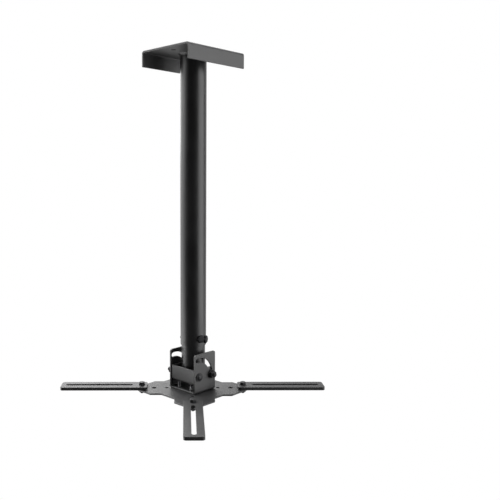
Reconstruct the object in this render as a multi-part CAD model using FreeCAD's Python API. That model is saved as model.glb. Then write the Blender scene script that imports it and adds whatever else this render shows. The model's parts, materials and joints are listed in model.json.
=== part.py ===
import FreeCAD, Part
import math
import os

from FreeCAD import Vector

# Sizes are millimetres, angles are degrees.
# The origin is the middle of the ceiling face on the pole's axis, with Z up and the arms along X and Y.

# Ceiling channel
channel_width = 118.5
channel_length = 142.5
channel_sheet = 3.0
channel_drop = 28.0
channel_bend = 2.0
channel_hole = 9.0
channel_hole_circle = 100.0
channel_weld = 4.5

# Telescopic pole
outer_pole_diameter = 48.3
outer_pole_wall = 1.5
outer_pole_length = 534.5
pole_clearance = 0.35
inner_pole_wall = 2.0
height_travel = 300.0
pole_guide = 120.0

# Screws near the lower end of the outer pole
pole_screw = 8.0
pole_screw_head = 3.2
pole_screw_up = 13.7
clamp_azimuth = 33.0
height_azimuth = 67.0
height_bolt_lower = 3.0
slot_clearance = 0.3

# Tilt head
head_turn = -45.0
head_offset = 2.5
head_gap = 11.3
bracket_width = 66.5
bracket_depth = 54.6
bracket_height = 74.2
bracket_sheet = 3.0
bracket_bend = 1.5
bracket_corner = 5.0
bracket_lip = 1.5
tilt_bolt = 8.0
pivot_height = 31.0
pivot_setback = 16.3
lock_radius = 32.0
tilt_travel = 98.0
slot_slack = 0.5
tilt_play = 0.3

# Yoke between the bracket's sides
yoke_sheet = 3.0
yoke_above_pivot = 13.0
yoke_below_pivot = 14.6
yoke_bend = 1.0
yoke_edge = 1.2
yoke_pole_gap = 3.2
yoke_past_lock = 9.0
plug_height = 14.0
plug_fit = 0.05
swivel_bolt_size = 10.0

# Screws that hold the bracket on the base plate
bracket_screw = 6.0
bracket_screw_across = 16.0
bracket_screw_along = 19.0
bracket_screw_past = 9.6

# Base plate with a lobe for each arm
plate_thickness = 3.0
wide_core = 96.0
wide_half = 40.0
narrow_core = 92.0
narrow_half = 33.5
lobe_tip_half = 8.0
lobe_past_bolt = 8.0
wide_shoulder_back = 23.0
narrow_shoulder_back = 17.0
plate_corner = 3.0
plate_inner_hole = 7.0
plate_inner_radius = 48.6
plate_outer_hole = 9.0
plate_outer_radius = 72.9

# Arms
arm_width = 34.0
arm_thickness = 6.0
arm_length = 163.5
arm_bolt = 6.0
arm_bolt_radius = 96.0
arm_bolt_inset = 10.0
arm_corner = 5.0
arm_slot_width = 8.0
arm_slot_gap = 17.0
arm_slot_end = 9.0

# Small clearances and edge breaks
flat_play = 0.05
thread_fit = 0.05
hole_clearance = 0.3
edge_break = 0.5

# Derived sizes
outer_pole_radius = outer_pole_diameter / 2
outer_pole_bore = outer_pole_radius - outer_pole_wall
inner_pole_radius = outer_pole_bore - pole_clearance
inner_pole_bore = inner_pole_radius - inner_pole_wall
pole_end_z = -channel_sheet - outer_pole_length
clamp_z = pole_end_z + pole_screw_up
height_bolt_z = clamp_z - height_bolt_lower
bracket_top_z = pole_end_z - head_gap
plate_top_z = bracket_top_z - bracket_height
pivot_z = plate_top_z + pivot_height
pivot_y = -head_offset - pivot_setback
lock_y = pivot_y + lock_radius
bracket_half = bracket_width / 2
bracket_inner = bracket_half - bracket_sheet
yoke_half = bracket_inner - tilt_play
yoke_inner = yoke_half - yoke_sheet
yoke_front = -inner_pole_radius - yoke_pole_gap - yoke_sheet
yoke_rear = lock_y + yoke_past_lock
yoke_top_z = pivot_z + yoke_above_pivot
yoke_bottom_z = pivot_z - yoke_below_pivot
yoke_floor_z = yoke_bottom_z + yoke_sheet
inner_pole_end_z = yoke_floor_z + flat_play
slot_top_z = height_bolt_z + height_travel
inner_pole_top_z = slot_top_z + pole_guide
base_x = -head_offset * math.sin(math.radians(-head_turn))
base_y = -head_offset * math.cos(math.radians(-head_turn))
plate_bottom_z = plate_top_z - plate_thickness
lobe_tip = arm_bolt_radius + lobe_past_bolt
wide_shoulder = arm_bolt_radius - wide_shoulder_back
narrow_shoulder = arm_bolt_radius - narrow_shoulder_back
arm_bottom_z = plate_top_z + flat_play
arm_top_z = arm_bottom_z + arm_thickness

origin = Vector(0, 0, 0)
up = Vector(0, 0, 1)
down = Vector(0, 0, -1)


def outline(corners):
    # A flat face from corners of x, y and corner radius, each rounded by an arc
    count = len(corners)
    ends = []
    for i in range(count):
        x, y, radius = corners[i]
        here = Vector(x, y, 0)
        back = Vector(corners[i - 1][0], corners[i - 1][1], 0) - here
        ahead = Vector(corners[(i + 1) % count][0], corners[(i + 1) % count][1], 0) - here
        back.normalize()
        ahead.normalize()
        if radius <= 0:
            ends.append((here, here, here))
            continue
        half = back.getAngle(ahead) / 2
        run = radius / math.tan(half)
        middle = back + ahead
        middle.normalize()
        bulge = radius / math.sin(half) - radius
        ends.append((here + back * run, here + middle * bulge, here + ahead * run))
    edges = []
    for i in range(count):
        start, middle, stop = ends[i]
        if (stop - start).Length > 1e-6:
            edges.append(Part.Arc(start, middle, stop).toShape())
        after = ends[(i + 1) % count][0]
        if (after - stop).Length > 1e-6:
            edges.append(Part.makeLine(stop, after))
    return Part.Face(Part.Wire(edges))


def standing(face, depth, axis):
    # A face drawn flat is stood up, its second direction becoming Z, and given depth across the axis
    solid = face.extrude(Vector(0, 0, depth))
    solid.translate(Vector(0, 0, -depth / 2))
    solid.rotate(origin, Vector(1, 0, 0), 90)
    if axis == "x":
        solid.rotate(origin, up, 90)
    return solid


def aimed(shape, place, direction):
    # A piece drawn along Z is turned to a direction and set at a place
    moved = shape.copy()
    moved.Placement = FreeCAD.Placement(place, FreeCAD.Rotation(up, direction))
    return moved


def turned(shape):
    # From the head's own axes to the frame of the arms
    moved = shape.copy()
    moved.rotate(origin, up, head_turn)
    return moved


def around(azimuth):
    # A level direction, counted from the front towards the right
    angle = math.radians(azimuth)
    return Vector(math.sin(angle), -math.cos(angle), 0)


def hex_prism(across, height):
    radius = across / math.sqrt(3)
    points = []
    for i in range(6):
        angle = math.radians(60 * i)
        points.append((radius * math.cos(angle), radius * math.sin(angle), 0))
    return outline(points).extrude(Vector(0, 0, height))


def hex_body(across, height, both_ends):
    # A hexagon with its corners turned off at the top, and at the foot too for a nut
    chamfer = across * 0.07
    blank = Part.makeCylinder(across / math.sqrt(3), height)
    rims = [e for e in blank.Edges if e.Closed and e.BoundBox.ZMin > height - 0.01]
    if both_ends:
        rims = [e for e in blank.Edges if e.Closed]
    blank = blank.makeChamfer(chamfer, rims)
    return blank.common(hex_prism(across, height))


def washer(size, thickness):
    ring = Part.makeCylinder(size, thickness)
    return ring.cut(Part.makeCylinder(size / 2 + hole_clearance, thickness))


def nut(size, height):
    body = hex_body(size * 1.6 + 0.3, height, True)
    return body.cut(Part.makeCylinder(size / 2 + thread_fit, height))


def shank(size, length):
    # The stem of a bolt, hanging down from zero, with a chamfered end
    stem = Part.makeCylinder(size / 2, length, origin, down)
    rim = [e for e in stem.Edges if e.Closed and e.BoundBox.ZMax < -length + 0.01]
    return stem.makeChamfer(size * 0.1, rim)


def hex_bolt(size, length, head_height):
    return hex_body(size * 1.6 + 0.3, head_height, False).fuse(shank(size, length)).removeSplitter()


def button_bolt(size, length, head_height):
    # A low domed head with a hexagon socket
    radius = size * 0.9
    rise = head_height * 0.75
    ball = (radius * radius + rise * rise) / (2 * rise)
    dome = Part.makeSphere(ball, Vector(0, 0, head_height - ball))
    head = Part.makeCylinder(radius, head_height).common(dome)
    socket = hex_prism(size * 0.62, head_height)
    socket.translate(Vector(0, 0, head_height * 0.45))
    return head.cut(socket).fuse(shank(size, length)).removeSplitter()


def dome_bolt(size, length, head_height):
    # A smooth round head, low and without a socket
    radius = size * 0.75
    rise = head_height * 0.75
    ball = (radius * radius + rise * rise) / (2 * rise)
    dome = Part.makeSphere(ball, Vector(0, 0, head_height - ball))
    head = Part.makeCylinder(radius, head_height).common(dome)
    return head.fuse(shank(size, length)).removeSplitter()


def group(shapes):
    return Part.makeCompound(shapes)


def make_ceiling_bracket():
    half = channel_width / 2
    inside = half - channel_sheet
    outer_bend = channel_bend + channel_sheet
    profile = outline([
        (-half, -channel_drop, edge_break),
        (-half, 0, outer_bend),
        (half, 0, outer_bend),
        (half, -channel_drop, edge_break),
        (inside, -channel_drop, edge_break),
        (inside, -channel_sheet, channel_bend),
        (-inside, -channel_sheet, channel_bend),
        (-inside, -channel_drop, edge_break),
    ])
    solid = standing(profile, channel_length, "y")
    tool = Part.makeCylinder(channel_hole / 2, channel_sheet * 3, Vector(0, 0, -channel_sheet * 2))
    for side in (-1, 1):
        hole = tool.copy()
        hole.translate(Vector(0, side * channel_hole_circle / 2, 0))
        solid = solid.cut(hole)
    return turned(solid)


def make_ceiling_weld():
    # A fillet of weld round the top of the pole
    low = -channel_sheet - channel_weld
    high = -channel_sheet
    near = outer_pole_radius
    wide = outer_pole_radius + channel_weld
    sag = channel_weld * 0.42
    lean = Part.Arc(Vector(near, 0, low), Vector(near + sag, 0, high - sag), Vector(wide, 0, high)).toShape()
    top = Part.makeLine(Vector(wide, 0, high), Vector(near, 0, high))
    back = Part.makeLine(Vector(near, 0, high), Vector(near, 0, low))
    return Part.Face(Part.Wire([lean, top, back])).revolve(origin, up, 360)


def pole_hole(azimuth, size, z):
    return Part.makeCylinder(size / 2, outer_pole_diameter, Vector(0, 0, z), around(azimuth))


def make_outer_pole():
    tube = Part.makeCylinder(outer_pole_radius, outer_pole_length, Vector(0, 0, pole_end_z))
    tube = tube.cut(Part.makeCylinder(outer_pole_bore, outer_pole_length, Vector(0, 0, pole_end_z)))
    through = pole_screw + 2 * hole_clearance
    tapped = pole_screw + 2 * thread_fit
    # The height bolt goes through the near wall and screws into the far one
    tube = tube.cut(pole_hole(height_azimuth, through, height_bolt_z))
    tube = tube.cut(pole_hole(height_azimuth + 180, tapped, height_bolt_z))
    return tube.cut(pole_hole(clamp_azimuth, tapped, clamp_z))


def make_clamp_screw():
    reach = outer_pole_radius - inner_pole_radius - pole_clearance * 0.5
    screw = hex_bolt(pole_screw, reach, pole_screw_head)
    way = around(clamp_azimuth)
    return aimed(screw, way * outer_pole_radius + Vector(0, 0, clamp_z), way)


def make_height_bolt():
    way = around(height_azimuth)
    length = outer_pole_diameter + pole_screw * 0.2
    bolt = hex_bolt(pole_screw, length, pole_screw_head)
    return aimed(bolt, way * outer_pole_radius + Vector(0, 0, height_bolt_z), way)


def make_inner_pole():
    length = inner_pole_top_z - inner_pole_end_z
    foot = Vector(0, 0, inner_pole_end_z)
    tube = Part.makeCylinder(inner_pole_radius, length, foot)
    tube = tube.cut(Part.makeCylinder(inner_pole_bore, length, foot))
    # The height bolt runs in a long slot through both walls
    half = pole_screw / 2 + slot_clearance
    slot = outline([
        (-half, height_bolt_z - half, half * 0.999),
        (half, height_bolt_z - half, half * 0.999),
        (half, slot_top_z + half, half * 0.999),
        (-half, slot_top_z + half, half * 0.999),
    ])
    tool = standing(slot, outer_pole_diameter, "y")
    tool.rotate(origin, up, height_azimuth)
    return tube.cut(tool)


def make_pole_end_plug():
    foot = Vector(0, 0, inner_pole_end_z)
    plug = Part.makeCylinder(inner_pole_bore - plug_fit, plug_height, foot)
    return plug.cut(Part.makeCylinder(swivel_bolt_size / 2 + thread_fit, plug_height, foot))


def make_swivel_bolt():
    seat = yoke_bottom_z - flat_play - swivel_bolt_size * 0.2
    length = plug_height + yoke_sheet + swivel_bolt_size * 0.15
    return aimed(button_bolt(swivel_bolt_size, length, swivel_bolt_size * 0.45), Vector(0, 0, seat), down)


def make_swivel_washer():
    ring = washer(swivel_bolt_size, swivel_bolt_size * 0.2)
    ring.translate(Vector(0, 0, yoke_bottom_z - flat_play - swivel_bolt_size * 0.2))
    return ring


def make_yoke():
    # Floor with a front web and two cheeks bent up from it, closed along the web's upright edges
    bend = yoke_bend + yoke_sheet
    depth = yoke_rear - yoke_front
    height = yoke_top_z - yoke_bottom_z
    blank = Part.makeBox(2 * yoke_half, depth, height, Vector(-yoke_half, yoke_front, yoke_bottom_z))
    rounded = []
    for edge in blank.Edges:
        box = edge.BoundBox
        if box.ZMax < yoke_bottom_z + 0.01 and box.YMin < yoke_rear - 0.01:
            rounded.append(edge)
    blank = blank.makeFillet(bend, rounded)
    upright = []
    for edge in blank.Edges:
        box = edge.BoundBox
        if box.YMax < yoke_front + 0.01 and box.ZLength > height / 2:
            upright.append(edge)
    blank = blank.makeFillet(yoke_edge, upright)
    hollow = Part.makeBox(
        2 * yoke_inner,
        depth,
        height,
        Vector(-yoke_inner, yoke_front + yoke_sheet, yoke_floor_z),
    )
    rounded = []
    for edge in hollow.Edges:
        box = edge.BoundBox
        foot = box.ZMax < yoke_floor_z + 0.01 and box.YMin < yoke_rear - 0.01
        front = box.YMax < yoke_front + yoke_sheet + 0.01 and box.ZLength > height - 0.01
        if foot or front:
            rounded.append(edge)
    hollow = hollow.makeFillet(yoke_bend, rounded)
    solid = blank.cut(hollow)
    span = 4 * yoke_half
    for y in (pivot_y, lock_y):
        place = Vector(-span / 2, y, pivot_z)
        solid = solid.cut(Part.makeCylinder(tilt_bolt / 2 + thread_fit, span, place, Vector(1, 0, 0)))
    bore = swivel_bolt_size / 2 + hole_clearance
    solid = solid.cut(Part.makeCylinder(bore, yoke_sheet * 3, Vector(0, 0, yoke_bottom_z - yoke_sheet)))
    return turned(solid)


def side_stack(side, y, start):
    # The place and direction of a fastener on one side of the head
    return Vector(side * start, y, pivot_z), Vector(side, 0, 0)


def make_pivot_screw():
    seat = bracket_half + flat_play + tilt_bolt * 0.2
    length = seat - yoke_inner
    place, way = side_stack(1, pivot_y, seat)
    return turned(aimed(dome_bolt(tilt_bolt, length, tilt_bolt * 0.42), place, way))


def make_pivot_stud():
    length = bracket_half - yoke_inner + tilt_bolt * 1.75
    place, way = side_stack(-1, pivot_y, yoke_inner)
    return turned(aimed(shank(tilt_bolt, length), place, way * -1))


def make_pivot_washers():
    rings = []
    for side in (-1, 1):
        place, way = side_stack(side, pivot_y, bracket_half + flat_play)
        rings.append(turned(aimed(washer(tilt_bolt, tilt_bolt * 0.2), place, way)))
    return group(rings)


def make_pivot_nut():
    place, way = side_stack(-1, pivot_y, bracket_half + flat_play + tilt_bolt * 0.2)
    return turned(aimed(nut(tilt_bolt, tilt_bolt * 0.8), place, way))


def make_lock_bolts():
    head = tilt_bolt * 0.45
    length = bracket_half - yoke_inner + tilt_bolt * 1.5
    bolts = []
    for side in (-1, 1):
        place, way = side_stack(side, lock_y, yoke_inner)
        bolts.append(turned(aimed(hex_bolt(tilt_bolt, length, head), place, way * -1)))
    return group(bolts)


def make_lock_washers():
    rings = []
    for side in (-1, 1):
        place, way = side_stack(side, lock_y, bracket_half + flat_play)
        rings.append(turned(aimed(washer(tilt_bolt, tilt_bolt * 0.2), place, way)))
    return group(rings)


def make_lock_nuts():
    nuts = []
    for side in (-1, 1):
        place, way = side_stack(side, lock_y, bracket_half + flat_play + tilt_bolt * 0.2)
        nuts.append(turned(aimed(nut(tilt_bolt, tilt_bolt * 0.8), place, way)))
    return group(nuts)


def arc_slot():
    # The curved slot that the lock bolt runs in, drawn in the plane of the bracket's sides
    half = tilt_bolt / 2 + slot_clearance
    first = math.radians(-slot_slack)
    last = math.radians(tilt_travel + slot_slack)
    middle = (first + last) / 2

    def at(radius, angle):
        return Vector(pivot_y + radius * math.cos(angle), pivot_z + radius * math.sin(angle), 0)

    far = lock_radius + half
    near = lock_radius - half
    start = at(lock_radius, first) + Vector(math.sin(first), -math.cos(first), 0) * half
    stop = at(lock_radius, last) + Vector(-math.sin(last), math.cos(last), 0) * half
    edges = [
        Part.Arc(at(far, first), at(far, middle), at(far, last)).toShape(),
        Part.Arc(at(far, last), stop, at(near, last)).toShape(),
        Part.Arc(at(near, last), at(near, middle), at(near, first)).toShape(),
        Part.Arc(at(near, first), start, at(far, first)).toShape(),
    ]
    return Part.Face(Part.Wire(edges))


def bracket_screw_places():
    places = []
    for side in (-1, 1):
        for end in (-1, 1):
            places.append((side * bracket_screw_across, end * bracket_screw_along - head_offset))
    return places


def make_tilt_bracket():
    bend = bracket_bend + bracket_sheet
    profile = outline([
        (-bracket_half, bracket_top_z, edge_break),
        (-bracket_inner, bracket_top_z, edge_break),
        (-bracket_inner, plate_top_z + bracket_sheet, bracket_bend),
        (bracket_inner, plate_top_z + bracket_sheet, bracket_bend),
        (bracket_inner, bracket_top_z, edge_break),
        (bracket_half, bracket_top_z, edge_break),
        (bracket_half, plate_top_z, bend),
        (-bracket_half, plate_top_z, bend),
    ])
    solid = standing(profile, bracket_depth, "y")
    solid.translate(Vector(0, -head_offset, 0))
    front = -head_offset - bracket_depth / 2
    rear = front + bracket_depth
    side_view = outline([
        (front, plate_top_z, 0),
        (rear, plate_top_z, 0),
        (rear, bracket_top_z, bracket_corner),
        (front, bracket_top_z, bracket_corner),
    ])
    solid = solid.common(standing(side_view, bracket_width, "x"))
    solid = solid.cut(standing(arc_slot(), bracket_width * 2, "x"))
    pivot = Vector(-bracket_width, pivot_y, pivot_z)
    pivot_hole = Part.makeCylinder(tilt_bolt / 2 + thread_fit, bracket_width * 2, pivot, Vector(1, 0, 0))
    solid = solid.cut(pivot_hole)
    # The floor's front and rear edges are dressed round
    floor_z = plate_top_z + bracket_sheet
    span = 2 * (bracket_inner - bracket_bend)
    for corner, middle in ((front, front + bracket_lip), (rear - bracket_lip, rear - bracket_lip)):
        place = Vector(-span / 2, corner, floor_z - bracket_lip)
        waste = Part.makeBox(span, bracket_lip, bracket_lip, place)
        place = Vector(-span / 2, middle, floor_z - bracket_lip)
        waste = waste.cut(Part.makeCylinder(bracket_lip, span, place, Vector(1, 0, 0)))
        solid = solid.cut(waste)
    # The screws come up through the plate and are tapped into the floor
    for x, y in bracket_screw_places():
        place = Vector(x, y, plate_top_z - bracket_sheet)
        solid = solid.cut(Part.makeCylinder(bracket_screw / 2 + thread_fit, bracket_sheet * 3, place))
    return turned(solid)


def make_bracket_screws():
    length = bracket_sheet + plate_thickness + bracket_screw_past
    screws = []
    for x, y in bracket_screw_places():
        screw = button_bolt(bracket_screw, length, bracket_screw * 0.6)
        screws.append(turned(aimed(screw, Vector(x, y, plate_bottom_z), down)))
    return group(screws)


def on_base(shape, quarter):
    # From the drawing of the left arm's side to one of the four arms
    moved = shape.copy()
    moved.rotate(origin, up, 90 * quarter)
    moved.translate(Vector(base_x, base_y, 0))
    return moved


def make_base_plate():
    # The lobes are wider on the sides that face the bracket's uprights than on those that face its open ends
    wide_side = [
        (lobe_tip, -lobe_tip_half, plate_corner),
        (wide_shoulder, -wide_half, plate_corner),
        (wide_core - wide_half, -wide_half, plate_corner),
    ]
    narrow_side = [
        (narrow_core - narrow_half, narrow_half, plate_corner),
        (narrow_shoulder, narrow_half, plate_corner),
        (lobe_tip, lobe_tip_half, plate_corner),
    ]
    corners = []
    for turn in range(4):
        cos = (1, 0, -1, 0)[turn]
        sin = (0, 1, 0, -1)[turn]
        # The right and left lobes are drawn as they are, the rear and front ones as mirror images
        flip = (1, -1, 1, -1)[turn]
        lobe = wide_side[::-1] + narrow_side[::-1]
        if flip < 0:
            lobe = [(x, -y, radius) for x, y, radius in lobe[::-1]]
        for x, y, radius in lobe:
            corners.append((x * cos - y * sin, x * sin + y * cos, radius))
    solid = outline(corners).extrude(Vector(0, 0, plate_thickness))
    rims = [e for e in solid.Edges if e.BoundBox.ZLength < 0.01]
    solid = solid.makeFillet(edge_break, rims)
    solid.translate(Vector(0, 0, plate_bottom_z))
    reach = plate_thickness * 3
    for turn in range(4):
        for radius, size in ((plate_inner_radius, plate_inner_hole), (plate_outer_radius, plate_outer_hole)):
            hole = Part.makeCylinder(size / 2, reach, Vector(-radius, 0, plate_bottom_z - plate_thickness))
            hole.rotate(origin, up, 90 * turn)
            solid = solid.cut(hole)
        place = Vector(-arm_bolt_radius, 0, plate_bottom_z - plate_thickness)
        hole = Part.makeCylinder(arm_bolt / 2 + hole_clearance, reach, place)
        hole.rotate(origin, up, 90 * turn)
        solid = solid.cut(hole)
    solid.translate(Vector(base_x, base_y, 0))
    for x, y in bracket_screw_places():
        place = Vector(x, y, plate_bottom_z - plate_thickness)
        hole = turned(Part.makeCylinder(bracket_screw / 2 + hole_clearance, reach, place))
        solid = solid.cut(hole)
    return solid


def make_arm(quarter):
    start = arm_bolt_radius - arm_bolt_inset
    stop = start + arm_length
    half = arm_width / 2
    solid = outline([
        (-start, -half, arm_corner),
        (-start, half, arm_corner),
        (-stop, half, arm_corner),
        (-stop, -half, arm_corner),
    ]).extrude(Vector(0, 0, arm_thickness))
    rims = [e for e in solid.Edges if e.BoundBox.ZLength < 0.01]
    solid = solid.makeFillet(edge_break, rims)
    slot_half = arm_slot_width / 2
    slot_in = arm_bolt_radius + arm_slot_gap
    slot_out = stop - arm_slot_end
    round_end = slot_half * 0.999
    slot = outline([
        (-slot_in, -slot_half, round_end),
        (-slot_in, slot_half, round_end),
        (-slot_out, slot_half, round_end),
        (-slot_out, -slot_half, round_end),
    ]).extrude(Vector(0, 0, arm_thickness))
    solid = solid.cut(slot)
    place = Vector(-arm_bolt_radius, 0, 0)
    solid = solid.cut(Part.makeCylinder(arm_bolt / 2 + hole_clearance, arm_thickness, place))
    solid.translate(Vector(0, 0, arm_bottom_z))
    return on_base(solid, quarter)


def make_arm_bolts():
    seat = arm_top_z + flat_play + arm_bolt * 0.25
    length = seat - plate_bottom_z + arm_bolt * 1.2
    bolt = aimed(hex_bolt(arm_bolt, length, arm_bolt * 0.65), Vector(-arm_bolt_radius, 0, seat), up)
    return group([on_base(bolt, quarter) for quarter in range(4)])


def make_arm_washers():
    ring = washer(arm_bolt, arm_bolt * 0.25)
    ring.translate(Vector(-arm_bolt_radius, 0, arm_top_z + flat_play))
    return group([on_base(ring, quarter) for quarter in range(4)])


def make_arm_nuts():
    piece = aimed(nut(arm_bolt, arm_bolt * 0.85), Vector(-arm_bolt_radius, 0, plate_bottom_z), down)
    return group([on_base(piece, quarter) for quarter in range(4)])


os.makedirs("parts", exist_ok=True)
make_ceiling_bracket().exportStep("parts/ceiling_bracket.step")
make_ceiling_weld().exportStep("parts/ceiling_weld.step")
make_outer_pole().exportStep("parts/outer_pole.step")
make_clamp_screw().exportStep("parts/clamp_screw.step")
make_height_bolt().exportStep("parts/height_bolt.step")
make_inner_pole().exportStep("parts/inner_pole.step")
make_pole_end_plug().exportStep("parts/pole_end_plug.step")
make_swivel_bolt().exportStep("parts/swivel_bolt.step")
make_swivel_washer().exportStep("parts/swivel_washer.step")
make_yoke().exportStep("parts/yoke.step")
make_pivot_screw().exportStep("parts/pivot_screw.step")
make_pivot_stud().exportStep("parts/pivot_stud.step")
make_pivot_washers().exportStep("parts/pivot_washers.step")
make_pivot_nut().exportStep("parts/pivot_nut.step")
make_lock_bolts().exportStep("parts/lock_bolts.step")
make_lock_washers().exportStep("parts/lock_washers.step")
make_lock_nuts().exportStep("parts/lock_nuts.step")
make_tilt_bracket().exportStep("parts/tilt_bracket.step")
make_bracket_screws().exportStep("parts/bracket_screws.step")
make_base_plate().exportStep("parts/base_plate.step")
make_arm(0).exportStep("parts/arm_left.step")
make_arm(1).exportStep("parts/arm_front.step")
make_arm(2).exportStep("parts/arm_right.step")
make_arm(3).exportStep("parts/arm_rear.step")
make_arm_bolts().exportStep("parts/arm_bolts.step")
make_arm_washers().exportStep("parts/arm_washers.step")
make_arm_nuts().exportStep("parts/arm_nuts.step")
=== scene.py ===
import json
import math

import bpy
import numpy as np
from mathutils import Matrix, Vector


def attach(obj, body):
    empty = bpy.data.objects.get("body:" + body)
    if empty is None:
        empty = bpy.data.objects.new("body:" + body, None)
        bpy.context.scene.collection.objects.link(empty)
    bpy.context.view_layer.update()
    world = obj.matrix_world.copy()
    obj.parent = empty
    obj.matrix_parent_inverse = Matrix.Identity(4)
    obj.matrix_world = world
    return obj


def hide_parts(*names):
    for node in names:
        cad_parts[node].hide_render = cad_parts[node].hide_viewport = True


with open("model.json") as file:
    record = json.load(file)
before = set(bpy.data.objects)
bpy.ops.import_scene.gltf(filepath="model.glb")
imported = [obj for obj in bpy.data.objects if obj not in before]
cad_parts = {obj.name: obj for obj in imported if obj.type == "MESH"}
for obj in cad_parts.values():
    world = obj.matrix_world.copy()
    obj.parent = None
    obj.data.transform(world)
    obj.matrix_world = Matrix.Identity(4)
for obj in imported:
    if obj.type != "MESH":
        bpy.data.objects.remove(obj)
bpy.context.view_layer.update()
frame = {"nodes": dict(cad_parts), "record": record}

scene = bpy.context.scene
mm = 0.001

# heights and distances of the mount that several pieces sit on, in millimetres
mount = dict(
    poleRadius=24.15, boltZ=-526.8, clampZ=-523.8, boltAngle=67.0, clampAngle=33.0,
    plateBottom=-626.0, baseX=-1.7678, baseY=-1.7678,
    yokeInner=26.95, pivotY=-18.8, lockY=13.2, pivotZ=-592.0, headOffset=2.5,
)


def addNode(tree, kind, sockets=None, **values):
    # a node with its settings, then the constants on its sockets
    node = tree.nodes.new(kind)
    for key, value in values.items():
        setattr(node, key, value)
    for key, value in (sockets or {}).items():
        node.inputs[key].default_value = value
    return node


def addRamp(tree, low, high, start=0.0, stop=1.0):
    # colours from low to high between two levels of a pattern
    ramp = addNode(tree, "ShaderNodeValToRGB")
    ends = ramp.color_ramp.elements
    ends[0].position = start
    ends[1].position = stop
    ends[0].color = (*low, 1)
    ends[1].color = (*high, 1)
    return ramp


def addRange(tree, start, stop, low=0.0, high=1.0):
    # levels between start and stop carried to low and high
    levels = {"From Min": start, "From Max": stop, "To Min": low, "To Max": high}
    return addNode(tree, "ShaderNodeMapRange", levels)


def freshMaterial(name):
    # an empty material with its output, and the function that links its sockets
    material = bpy.data.materials.new(name)
    material.use_nodes = True
    tree = material.node_tree
    tree.nodes.clear()
    surface = addNode(tree, "ShaderNodeOutputMaterial").inputs["Surface"]
    return material, tree, surface, tree.links.new


# satin black powder coat, with its peel and grain in metres of the part's own coordinates
coatLook = dict(
    color=(0.0070, 0.0070, 0.0074), paler=(0.0100, 0.0100, 0.0105), edge=(0.020, 0.020, 0.021),
    cloudScale=26.0, cloudDetail=3.0, tintFrom=0.35, tintTo=0.68,
    roughLow=0.34, roughHigh=0.42, glossFrom=0.3, glossTo=0.7,
    peelScale=900.0, peelDetail=1.0, peelStrength=0.10, peelDepth=0.0002,
    grainScale=3600.0, grainDetail=0.0, grainShare=0.30,
    edgeRadius=0.0005, edgeRays=4, edgeFrom=0.985, edgeFull=0.80,
)
# the flat plate and arms: a drier coat than the pole, its colour painted paler than the pole's as painted
# light for light the lamps don't give them
plateLitLook = dict(
    coatLook, color=(0.012, 0.012, 0.0125), paler=(0.016, 0.016, 0.0165), edge=(0.024, 0.024, 0.025),
    roughLow=0.45, roughHigh=0.53,
)
# the folded sheets of the channel and the head: the same coat painted paler still, painted light for light
# the lamps don't give
headLitLook = dict(
    coatLook, color=(0.032, 0.032, 0.0325), paler=(0.039, 0.039, 0.0395), edge=(0.047, 0.047, 0.048),
    roughLow=0.45, roughHigh=0.53,
)
# the yoke between the pole and the head: the same coat painted paler than the bracket on it, painted light
# for light the lamps don't give its web
yokeLitLook = dict(
    headLitLook, color=(0.070, 0.070, 0.0705), paler=(0.082, 0.082, 0.0825), edge=(0.092, 0.092, 0.093),
)


def powderCoat(name, look):
    # orange peel and fine grain in the bump, slow clouds in colour and gloss, thinner and paler on edges
    material, tree, surface, link = freshMaterial(name)
    shader = addNode(tree, "ShaderNodeBsdfPrincipled")
    where = addNode(tree, "ShaderNodeTexCoord")
    cloud = addNode(tree, "ShaderNodeTexNoise", {"Scale": look["cloudScale"], "Detail": look["cloudDetail"]})
    peel = addNode(tree, "ShaderNodeTexNoise", {"Scale": look["peelScale"], "Detail": look["peelDetail"]})
    grain = addNode(tree, "ShaderNodeTexNoise", {"Scale": look["grainScale"], "Detail": look["grainDetail"]})
    relief = addNode(tree, "ShaderNodeMath", {1: look["grainShare"]}, operation="MULTIPLY_ADD")
    tint = addRamp(tree, look["color"], look["paler"], look["tintFrom"], look["tintTo"])
    gloss = addRange(tree, look["glossFrom"], look["glossTo"], look["roughLow"], look["roughHigh"])
    bump = addNode(tree, "ShaderNodeBump", {"Strength": look["peelStrength"], "Distance": look["peelDepth"]})
    rounded = addNode(tree, "ShaderNodeBevel", {"Radius": look["edgeRadius"]}, samples=look["edgeRays"])
    face = addNode(tree, "ShaderNodeNewGeometry")
    turn = addNode(tree, "ShaderNodeVectorMath", operation="DOT_PRODUCT")
    thin = addRange(tree, look["edgeFrom"], look["edgeFull"])
    mix = addNode(tree, "ShaderNodeMix", {"B": (*look["edge"], 1)}, data_type="RGBA")
    for noise in (cloud, peel, grain):
        link(where.outputs["Object"], noise.inputs["Vector"])
    link(grain.outputs["Fac"], relief.inputs[0])
    link(peel.outputs["Fac"], relief.inputs[2])
    link(relief.outputs[0], bump.inputs["Height"])
    link(rounded.outputs["Normal"], bump.inputs["Normal"])
    link(rounded.outputs["Normal"], turn.inputs[0])
    link(face.outputs["Normal"], turn.inputs[1])
    link(turn.outputs["Value"], thin.inputs["Value"])
    link(cloud.outputs["Fac"], tint.inputs["Fac"])
    link(cloud.outputs["Fac"], gloss.inputs["Value"])
    link(thin.outputs["Result"], mix.inputs["Factor"])
    link(tint.outputs["Color"], mix.inputs["A"])
    link(mix.outputs["Result"], shader.inputs["Base Color"])
    link(gloss.outputs["Result"], shader.inputs["Roughness"])
    link(bump.outputs["Normal"], shader.inputs["Normal"])
    link(shader.outputs["BSDF"], surface)
    return material


zincLook = dict(
    dark=(0.010, 0.010, 0.011), pale=(0.024, 0.024, 0.026), tintFrom=0.35, tintTo=0.70,
    metal=0.35, gleam=0.5, roughLow=0.42, roughHigh=0.58, glossFrom=0.3, glossTo=0.7,
    blotchScale=420.0, blotchDetail=4.0, scratchScale=2600.0, scratchBend=1.2,
    strength=0.06, depth=0.0001, edgeRadius=0.00025, edgeRays=4,
)
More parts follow.
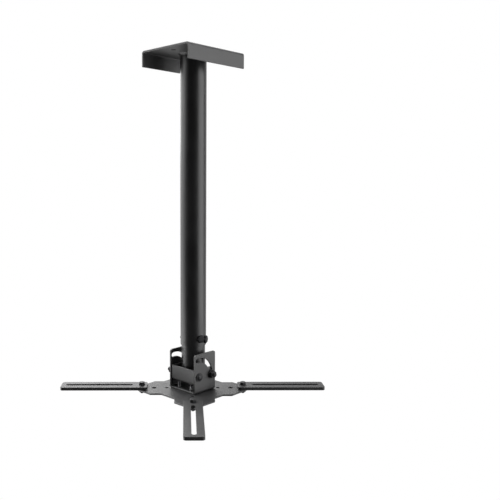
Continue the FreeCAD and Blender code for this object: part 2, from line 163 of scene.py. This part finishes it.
# the two screws at the pole's lower end are duller than the rest
dullLook = dict(zincLook, gleam=0.12)


def blackZinc(name, look):
    # plated screws: blotchy dark film over metal, fine scratches, small rounding on the edges
    material, tree, surface, link = freshMaterial(name)
    film = {"Metallic": look["metal"], "Specular IOR Level": look["gleam"]}
    shader = addNode(tree, "ShaderNodeBsdfPrincipled", film)
    where = addNode(tree, "ShaderNodeTexCoord")
    stains = {"Scale": look["blotchScale"], "Detail": look["blotchDetail"]}
    blotch = addNode(tree, "ShaderNodeTexNoise", stains)
    lines = {"Scale": look["scratchScale"], "Distortion": look["scratchBend"]}
    scratch = addNode(tree, "ShaderNodeTexNoise", lines)
    tint = addRamp(tree, look["dark"], look["pale"], look["tintFrom"], look["tintTo"])
    gloss = addRange(tree, look["glossFrom"], look["glossTo"], look["roughLow"], look["roughHigh"])
    bump = addNode(tree, "ShaderNodeBump", {"Strength": look["strength"], "Distance": look["depth"]})
    rounded = addNode(tree, "ShaderNodeBevel", {"Radius": look["edgeRadius"]}, samples=look["edgeRays"])
    link(where.outputs["Object"], blotch.inputs["Vector"])
    link(where.outputs["Object"], scratch.inputs["Vector"])
    link(blotch.outputs["Fac"], tint.inputs["Fac"])
    link(blotch.outputs["Fac"], gloss.inputs["Value"])
    link(scratch.outputs["Fac"], bump.inputs["Height"])
    link(rounded.outputs["Normal"], bump.inputs["Normal"])
    link(tint.outputs["Color"], shader.inputs["Base Color"])
    link(gloss.outputs["Result"], shader.inputs["Roughness"])
    link(bump.outputs["Normal"], shader.inputs["Normal"])
    link(shader.outputs["BSDF"], surface)
    return material


steelLook = dict(
    dark=(0.36, 0.36, 0.37), pale=(0.52, 0.52, 0.53), metal=1.0, rough=0.38,
    ringScale=900.0, ringBend=1.5, strength=0.15, depth=0.0001,
)


def turnedSteel(name, look):
    # bare steel off the lathe: rings about the pole's axis in colour and bump
    material, tree, surface, link = freshMaterial(name)
    metal = {"Metallic": look["metal"], "Roughness": look["rough"]}
    shader = addNode(tree, "ShaderNodeBsdfPrincipled", metal)
    where = addNode(tree, "ShaderNodeTexCoord")
    spacing = {"Scale": look["ringScale"], "Distortion": look["ringBend"]}
    rings = addNode(tree, "ShaderNodeTexWave", spacing, wave_type="RINGS", rings_direction="Z")
    tint = addRamp(tree, look["dark"], look["pale"])
    bump = addNode(tree, "ShaderNodeBump", {"Strength": look["strength"], "Distance": look["depth"]})
    link(where.outputs["Object"], rings.inputs["Vector"])
    link(rings.outputs["Fac"], tint.inputs["Fac"])
    link(rings.outputs["Fac"], bump.inputs["Height"])
    link(tint.outputs["Color"], shader.inputs["Base Color"])
    link(bump.outputs["Normal"], shader.inputs["Normal"])
    link(shader.outputs["BSDF"], surface)
    return material


# the plate, head and yoke coats are paler copies of the pole's one coat: painted light
poleCoat = powderCoat("poleCoat", coatLook)
plateLitCoat = powderCoat("plateLitCoat", plateLitLook)
headLitCoat = powderCoat("headLitCoat", headLitLook)
yokeLitCoat = powderCoat("yokeLitCoat", yokeLitLook)
screwZinc = blackZinc("screwZinc", zincLook)
dullZinc = blackZinc("dullZinc", dullLook)
plainSteel = turnedSteel("plainSteel", steelLook)
finishes = dict(black_coat=poleCoat, black_fasteners=screwZinc, plain_steel=plainSteel)
ownFinish = dict(ceiling_bracket=headLitCoat, yoke=yokeLitCoat, tilt_bracket=headLitCoat, base_plate=plateLitCoat)
ownFinish.update(clamp_screw=dullZinc, height_bolt=dullZinc)
ownFinish.update((arm, plateLitCoat) for arm in ("arm_left", "arm_front", "arm_right", "arm_rear"))

for part in frame["record"]["subparts"]:
    piece = frame["nodes"][part["node"]]
    piece.data.materials.clear()
    piece.data.materials.append(ownFinish.get(part["node"], finishes[part["material_slot"]]))


def gridFaces(rows, columns, wrapRows=False):
    # quads of a grid whose last column meets the first; the last row meets the first too where it wraps
    r, c = np.meshgrid(np.arange(rows if wrapRows else rows - 1), np.arange(columns), indexing="ij")
    up = (r + 1) % rows
    on = (c + 1) % columns
    corners = [r * columns + c, r * columns + on, up * columns + on, up * columns + c]
    return np.stack(corners, -1).reshape(-1, 4)


def capFaces(row, pole, columns, flip):
    # a fan of triangles from a ring to the point on its axis
    c = np.arange(columns)
    on = (c + 1) % columns
    first, second = (on, c) if flip else (c, on)
    return np.stack([np.full(columns, pole), row * columns + first, row * columns + second], -1)


def meshFrom(name, points, faces, sharp=35):
    # edges that turn by more than the sharp angle, in degrees, stay crisp
    mesh = bpy.data.meshes.new(name)
    mesh.from_pydata(points.tolist(), [], [face for group in faces for face in group.tolist()])
    mesh.validate()
    mesh.update()
    mesh.shade_smooth()
    mesh.set_sharp_from_angle(angle=math.radians(sharp))
    piece = bpy.data.objects.new(name, mesh)
    scene.collection.objects.link(piece)
    return piece


def alongAxis(points, at, along):
    # a shape drawn about Z is stood on a point with its Z along a direction
    w = np.array(along, float) / np.linalg.norm(along)
    helper = np.array([0.0, 0.0, 1.0]) if abs(w[2]) < 0.9 else np.array([1.0, 0.0, 0.0])
    u = np.cross(helper, w)
    u /= np.linalg.norm(u)
    v = np.cross(w, u)
    return np.array(at, float) + points[:, :1] * u + points[:, 1:2] * v + points[:, 2:] * w


def headToRow(points):
    # from the tilt head's own axes, turned an eighth of a turn about the pole, to the part's axes
    c = math.sqrt(0.5)
    return np.stack([(points[:, 0] + points[:, 1]) * c, (points[:, 1] - points[:, 0]) * c, points[:, 2]], -1)


# every thread: steps round and along a turn, depth in pitches, tip in diameters, slope and cut of the wave
threadCut = dict(columns=48, rowsPerTurn=8, depth=0.55, tip=0.12, flank=1.35, flat=0.175)
# heads as shares of their own width or height, and the rows of their curved faces
hexCut = dict(face=0.95, cone=60.0, rows=7, bearing=0.47, crown=0.55)
buttonCut = dict(dome=0.75, mouth=0.64, rows=10, lip=0.05, floor=0.45, middle=0.2)
studCut = dict(outer=0.40, inner=0.2)
noLimit = 1000.0  # a radius that no head reaches


def ridge(turns):
    # one thread flank after another: a triangle wave with its crest and root cut flat
    wave = np.abs(2.0 * (turns % 1.0) - 1.0)
    return np.clip(threadCut["flank"] * wave - threadCut["flat"], 0.0, 1.0)


def hexRadius(theta, across):
    # distance from the middle of a hexagon to its side, by angle
    return across / 2 / np.cos((theta % (math.pi / 3)) - math.pi / 6)


def screwSurface(screw, head):
    # rings about Z, tip first: radius is the shank less the thread's ridge, which climbs one pitch a turn,
    # and then the head's own rings; head gives rows of height, round limit and hexagon width (0 for none)
    size, length, pitch = screw["size"], screw["length"], screw["pitch"]
    columns = threadCut["columns"]
    theta = np.linspace(0, 2 * math.pi, columns, endpoint=False)
    z = np.linspace(-length, 0, int(length / pitch * threadCut["rowsPerTurn"]) + 1)
    tip = np.clip(size * threadCut["tip"] - (z + length), 0, None)
    run = np.clip(-z / pitch, 0, 1)
    depth = threadCut["depth"] * pitch * run
    climb = z[:, None] / pitch - theta[None, :] / (2 * math.pi)
    radius = size / 2 - tip[:, None] - depth[:, None] * ridge(climb)
    sides = np.where(head[:, 2:] > 0, hexRadius(theta[None, :], head[:, 2:]), noLimit)
    radius = np.concatenate([radius, np.minimum(head[:, 1:2], sides)])
    z = np.concatenate([z, head[:, 0]])
    heights = np.broadcast_to(z[:, None], radius.shape)
    rings = np.stack([radius * np.cos(theta), radius * np.sin(theta), heights], -1)
    rows = len(z)
    points = np.concatenate([rings.reshape(-1, 3), [[0, 0, z[0]], [0, 0, z[-1]]]])
    tipCap = capFaces(0, rows * columns, columns, True)
    headCap = capFaces(rows - 1, rows * columns + 1, columns, False)
    return points, gridFaces(rows, columns), np.concatenate([tipCap, headCap])


def hexHead(across, height):
    # bearing face, flats, and the turned cone that cuts the corners in arcs
    flat = across / 2 * hexCut["face"]
    slope = math.tan(math.radians(hexCut["cone"]))
    drop = (across / math.sqrt(3) - flat) / slope
    cone = np.linspace(height - drop, height, hexCut["rows"])
    z = np.concatenate([[0.0, 0.0], cone, [height]])
    limit = np.concatenate([
        [across * hexCut["bearing"], noLimit], flat + (height - cone) * slope, [flat * hexCut["crown"]],
    ])
    return np.stack([z, limit, np.full(len(z), across)], -1)


def buttonHead(radius, height, socket):
    # a low dome with a hexagon hole: bearing face, rim, dome arc, mouth and floor of the hole
    rise = height * buttonCut["dome"]
    ball = (radius * radius + rise * rise) / (2 * rise)
    r = np.linspace(radius, socket * buttonCut["mouth"], buttonCut["rows"])
    dome = height - ball + np.sqrt(ball * ball - r * r)
    floor = height * buttonCut["floor"]
    z = np.concatenate([[0.0], dome, [dome[-1] - buttonCut["lip"], floor, floor]])
    limit = np.concatenate([[radius], r, [noLimit, noLimit, socket * buttonCut["middle"]]])
    across = np.concatenate([np.zeros(len(r) + 1), [socket, socket, socket]])
    return np.stack([z, limit, across], -1)


def studEnd(size):
    # the plain chamfered end of a threaded rod
    return np.array([[0.0, size * studCut["outer"], 0.0], [0.0, size * studCut["inner"], 0.0]])


def hexBolt(bolt):
    return screwSurface(bolt, hexHead(bolt["across"], bolt["head"]))


def placeScrews(name, node, body, screw, places, slot="black_fasteners"):
    # one piece of several like screws, each at a point with its head along a direction
    points, quads, caps = screw
    stack = np.concatenate([place(points) for place in places]) * mm
    shift = np.arange(len(places))[:, None, None] * len(points)
    faces = [(quads[None] + shift).reshape(-1, 4), (caps[None] + shift).reshape(-1, 3)]
    piece = meshFrom(name, stack, faces)
    piece.data.materials.append(ownFinish.get(node, finishes[slot]))
    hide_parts(node)
    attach(piece, body)


armBolt = dict(size=6.0, length=17.8, pitch=1.0, across=9.9, head=3.9, seat=-615.4, radius=96.0)


def armPlace(quarter):
    a = math.radians(180 + 90 * quarter)
    x = mount["baseX"] + armBolt["radius"] * math.cos(a)
    y = mount["baseY"] + armBolt["radius"] * math.sin(a)
    return lambda points: alongAxis(points, (x, y, armBolt["seat"]), (0, 0, 1))


armPlaces = [armPlace(quarter) for quarter in range(4)]
placeScrews("armBolts", "arm_bolts", "base", hexBolt(armBolt), armPlaces)

lockBolt = dict(size=8.0, length=18.3, pitch=1.25, across=13.1, head=3.6)


def sidePlace(side, y, inward):
    at = (side * mount["yokeInner"], y, mount["pivotZ"])
    return lambda points: headToRow(alongAxis(points, at, (inward, 0, 0)))


lockPlaces = [sidePlace(side, mount["lockY"], -side) for side in (-1, 1)]
placeScrews("lockBolts", "lock_bolts", "head", hexBolt(lockBolt), lockPlaces)

pivotStud = dict(size=8.0, length=20.3, pitch=1.25)
studShape = screwSurface(pivotStud, studEnd(pivotStud["size"]))
placeScrews("pivotStud", "pivot_stud", "head", studShape, [sidePlace(-1, mount["pivotY"], 1)])

bracketScrew = dict(
    size=6.0, length=15.6, pitch=1.0, radius=5.4, head=3.6, socket=3.72, across=16.0, along=19.0,
)


def bracketPlace(side, end):
    x = side * bracketScrew["across"]
    y = end * bracketScrew["along"] - mount["headOffset"]
    return lambda points: headToRow(alongAxis(points, (x, y, mount["plateBottom"]), (0, 0, -1)))


bracketHead = buttonHead(bracketScrew["radius"], bracketScrew["head"], bracketScrew["socket"])
bracketPlaces = [bracketPlace(side, end) for side in (-1, 1) for end in (-1, 1)]
bracketShape = screwSurface(bracketScrew, bracketHead)
placeScrews("bracketScrews", "bracket_screws", "base", bracketShape, bracketPlaces, "plain_steel")

heightBolt = dict(size=8.0, length=49.9, pitch=1.25, across=13.1, head=3.2)


def polePlace(angle, z):
    a = math.radians(angle)
    way = (math.sin(a), -math.cos(a), 0)
    at = (mount["poleRadius"] * way[0], mount["poleRadius"] * way[1], z)
    return lambda points: alongAxis(points, at, way)


boltPlace = polePlace(mount["boltAngle"], mount["boltZ"])
placeScrews("heightBolt", "height_bolt", "ceiling", hexBolt(heightBolt), [boltPlace])

clampScrew = dict(size=8.0, length=1.675, pitch=1.25, across=13.1, head=3.2)
clampPlace = polePlace(mount["clampAngle"], mount["clampZ"])
placeScrews("clampScrew", "clamp_screw", "ceiling", hexBolt(clampScrew), [clampPlace])
print("screws placed")

weldLook = dict(
    leg=4.4, top=-3.0, ripples=62, stepsPerRipple=8, rows=11, height=0.16, lean=0.6, hollow=0.27, sharp=50,
)


def weldBead():
    # section: a hollow arc from the pole's wall to the channel's sheet, with faint ripples round the pole;
    # each ripple leans back at the edges as a bead laid in one direction does; the corner closes the section
    columns = weldLook["ripples"] * weldLook["stepsPerRipple"]
    theta = np.linspace(0, 2 * math.pi, columns, endpoint=False)[None, :]
    s = np.linspace(0, 1, weldLook["rows"])[:, None]
    leg = weldLook["leg"]
    swell = np.sin(math.pi * s)
    wave = 0.5 + 0.5 * np.cos(weldLook["ripples"] * theta - weldLook["lean"] * math.pi * (2 * s - 1) ** 2)
    out = (weldLook["height"] * wave - weldLook["hollow"] * leg) * swell
    r = mount["poleRadius"] + leg * s + out / math.sqrt(2)
    z = weldLook["top"] - leg * (1 - s) - out / math.sqrt(2)
    r = np.concatenate([r, np.full((1, columns), mount["poleRadius"])])
    z = np.concatenate([z, np.full((1, columns), weldLook["top"])])
    points = np.stack([r * np.cos(theta), r * np.sin(theta), z], -1)
    faces = gridFaces(len(r), columns, True)
    piece = meshFrom("weldBead", points.reshape(-1, 3) * mm, [faces], weldLook["sharp"])
    piece.data.materials.append(poleCoat)
    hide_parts("ceiling_weld")
    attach(piece, "ceiling")


weldBead()
print("weld laid")

# floor and backdrop in metres, their paints, and the even light of the room
studio = dict(
    floorZ=-2.4, floorFront=-7.0, floorBack=0.6, width=14.0, backY=4.0, bend=1.6, wallTop=4.0,
    columns=8, bendRows=24, sharp=60, wallPaint=(0.8, 0.8, 0.8), worldLevel=0.035,
    floorLow=(0.68, 0.68, 0.68), floorHigh=(0.72, 0.72, 0.72), mottleScale=3.0,
)


def backdropGlow(name):
    # white to the camera and in reflections, plain pale paint for the light that falls on it
    material, tree, surface, link = freshMaterial(name)
    paint = addNode(tree, "ShaderNodeBsdfDiffuse", {"Color": (*studio["wallPaint"], 1)})
    glow = addNode(tree, "ShaderNodeEmission")
    path = addNode(tree, "ShaderNodeLightPath")
    seen = addNode(tree, "ShaderNodeMath", operation="MAXIMUM")
    through = addNode(tree, "ShaderNodeMath", operation="MAXIMUM")
    mix = addNode(tree, "ShaderNodeMixShader")
    link(path.outputs["Is Camera Ray"], seen.inputs[0])
    link(path.outputs["Is Glossy Ray"], seen.inputs[1])
    link(seen.outputs[0], through.inputs[0])
    link(path.outputs["Is Transmission Ray"], through.inputs[1])
    link(through.outputs[0], mix.inputs["Fac"])
    link(paint.outputs["BSDF"], mix.inputs[1])
    link(glow.outputs["Emission"], mix.inputs[2])
    link(mix.outputs["Shader"], surface)
    return material


def palePaint(name):
    # matt pale floor with a faint mottle
    material, tree, surface, link = freshMaterial(name)
    shader = addNode(tree, "ShaderNodeBsdfDiffuse")
    where = addNode(tree, "ShaderNodeTexCoord")
    mottle = addNode(tree, "ShaderNodeTexNoise", {"Scale": studio["mottleScale"]})
    tint = addRamp(tree, studio["floorLow"], studio["floorHigh"])
    link(where.outputs["Object"], mottle.inputs["Vector"])
    link(mottle.outputs["Fac"], tint.inputs["Fac"])
    link(tint.outputs["Color"], shader.inputs["Color"])
    link(shader.outputs["BSDF"], surface)
    return material


def sheetOf(name, y, z):
    # a profile of y and z carried along x
    x = np.linspace(-studio["width"] / 2, studio["width"] / 2, studio["columns"])
    points = np.stack(np.broadcast_arrays(x[None, :], y[:, None], z[:, None]), -1).reshape(-1, 3)
    r, c = np.meshgrid(np.arange(len(y) - 1), np.arange(len(x) - 1), indexing="ij")
    first = r * len(x) + c
    quads = np.stack([first, first + 1, first + len(x) + 1, first + len(x)], -1).reshape(-1, 4)
    piece = meshFrom(name, points, [quads], studio["sharp"])
    return piece


turn = np.linspace(-math.pi / 2, 0, studio["bendRows"])
bendY = studio["backY"] - studio["bend"] + studio["bend"] * np.cos(turn)
bendZ = studio["floorZ"] + studio["bend"] + studio["bend"] * np.sin(turn)
sweepY = np.concatenate([[studio["floorBack"]], bendY, [studio["backY"]]])
sweepZ = np.concatenate([[studio["floorZ"]], bendZ, [studio["wallTop"]]])
sheetOf("backdrop", sweepY, sweepZ).data.materials.append(backdropGlow("backdropWhite"))
nearY = np.linspace(studio["floorFront"], studio["floorBack"], studio["columns"])
nearZ = np.full(len(nearY), studio["floorZ"])
sheetOf("floor", nearY, nearZ).data.materials.append(palePaint("floorPaint"))

world = bpy.data.worlds.new("studioWorld")
scene.world = world
world.use_nodes = True
room = world.node_tree.nodes["Background"]
room.inputs["Color"].default_value = (1, 1, 1, 1)
room.inputs["Strength"].default_value = studio["worldLevel"]

# places, aims and sizes in metres, powers in watts
lamps = dict(
    left=dict(at=(-1.6, 0.58, -0.60), aim=(0, 0, -0.5), size=(1.6, 2.3), power=20.0),
    leftLow=dict(at=(-1.5, 0.02, -1.35), aim=(0, 0, -0.6), size=(0.9, 0.9), power=9.0),
    leftHigh=dict(at=(-1.64, -0.44, 0.25), aim=(0, 0, -0.1), size=(0.8, 0.7), power=2.8),
    leftUp=dict(at=(-1.70, 0.15, 0.25), aim=(0, 0, -0.1), size=(0.8, 0.7), power=4.0),
    right=dict(at=(1.7, -0.5, -0.20), aim=(0, 0, -0.30), size=(1.9, 2.0), power=42.0),
    backLeft=dict(at=(-0.80, 2.0, 0.40), aim=(-0.1, 0, -0.6), size=(1.9, 1.0), power=20.0),
    top=dict(at=(-0.9, 0.8, 0.9), aim=(0, -0.1, -0.6), size=(1.4, 1.2), power=44.0),
    over=dict(at=(0.1, 0.05, 0.9), aim=(0, 0, -0.6), size=(1.3, 0.9), power=22.0),
)


def softbox(name, lampLook):
    data = bpy.data.lights.new(name, "AREA")
    data.shape = "RECTANGLE"
    data.size, data.size_y = lampLook["size"]
    data.energy = lampLook["power"]
    lamp = bpy.data.objects.new(name, data)
    scene.collection.objects.link(lamp)
    lamp.visible_camera = False  # the boxes stay out of the other views
    lamp.location = lampLook["at"]
    way = Vector(lampLook["aim"]) - Vector(lampLook["at"])
    lamp.rotation_euler = way.to_track_quat("-Z", "Y").to_euler()


for lampName, lampLook in lamps.items():
    softbox(lampName, lampLook)
print("studio lit with", len(lamps), "softboxes")

# camera at the photograph's place: focal length, middle column and row in pixels of a 500 pixel frame
view = dict(
    at=(-0.01503, -1.17081, -0.23426), pitch=6.089, roll=0.07,
    focal=631.08, middle=185.18, row=250.0, frame=500.0, sensor=36.0, clip=0.05,
)
camera = bpy.data.objects.new("camera", bpy.data.cameras.new("camera"))
scene.collection.objects.link(camera)
camera.location = view["at"]
camera.rotation_euler = (math.radians(90 - view["pitch"]), math.radians(view["roll"]), 0)
camera.data.sensor_width = view["sensor"]
camera.data.lens = view["focal"] * view["sensor"] / view["frame"]
camera.data.shift_x = 0.5 - view["middle"] / view["frame"]
camera.data.shift_y = view["row"] / view["frame"] - 0.5
camera.data.clip_start = view["clip"]
scene.camera = camera
scene.view_settings.view_transform = "Standard"
